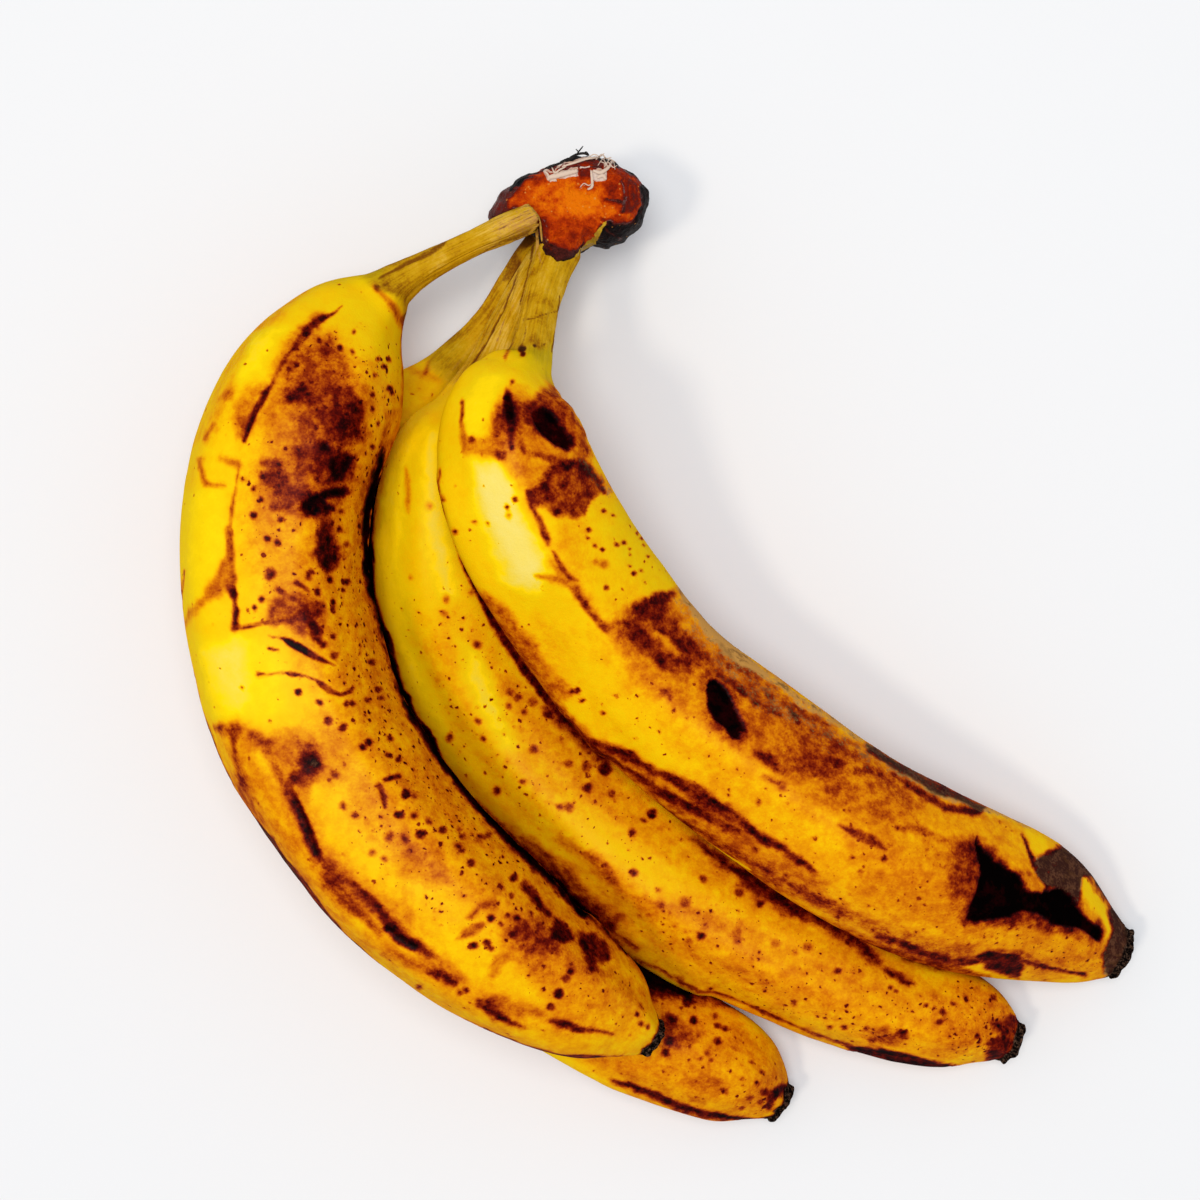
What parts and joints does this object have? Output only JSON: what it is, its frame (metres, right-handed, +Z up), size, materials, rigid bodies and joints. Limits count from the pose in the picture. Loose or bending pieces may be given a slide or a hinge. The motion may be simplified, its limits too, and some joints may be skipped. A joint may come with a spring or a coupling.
{
  "type": "hand of ripe plantains",
  "caption": "Hand of ripe, blotched plantains joined at one cut crown and lying flat, as food dressing for a kitchen, stall or table.",
  "frame": {"origin": "middle of the bounding box on the surface that the fruit lies on", "axes": "+Z up from the surface, +Y along the hand towards the cut crown, +X across it towards the finger that reaches furthest"},
  "size_m": [0.2322, 0.2392, 0.0777],
  "materials": {
    "peel_left": "satin ripe peel, yellow with a wide brown bruise and dark freckles",
    "peel_under": "satin ripe peel, orange-yellow with brown freckles",
    "peel_middle": "satin ripe peel, clear yellow turning orange and freckled towards the blossom end",
    "peel_right": "satin ripe peel, yellow and orange with black sunken marks and a grey worn edge",
    "cut_crown": "dried cut flesh, orange-brown with a dark shrivelled rim"
  },
  "bodies": {
    "root": {"crown": "cut_crown", "plantain_left": "peel_left", "plantain_under": "peel_under", "plantain_middle": "peel_middle", "plantain_right": "peel_right"}
  },
  "joints": []
}
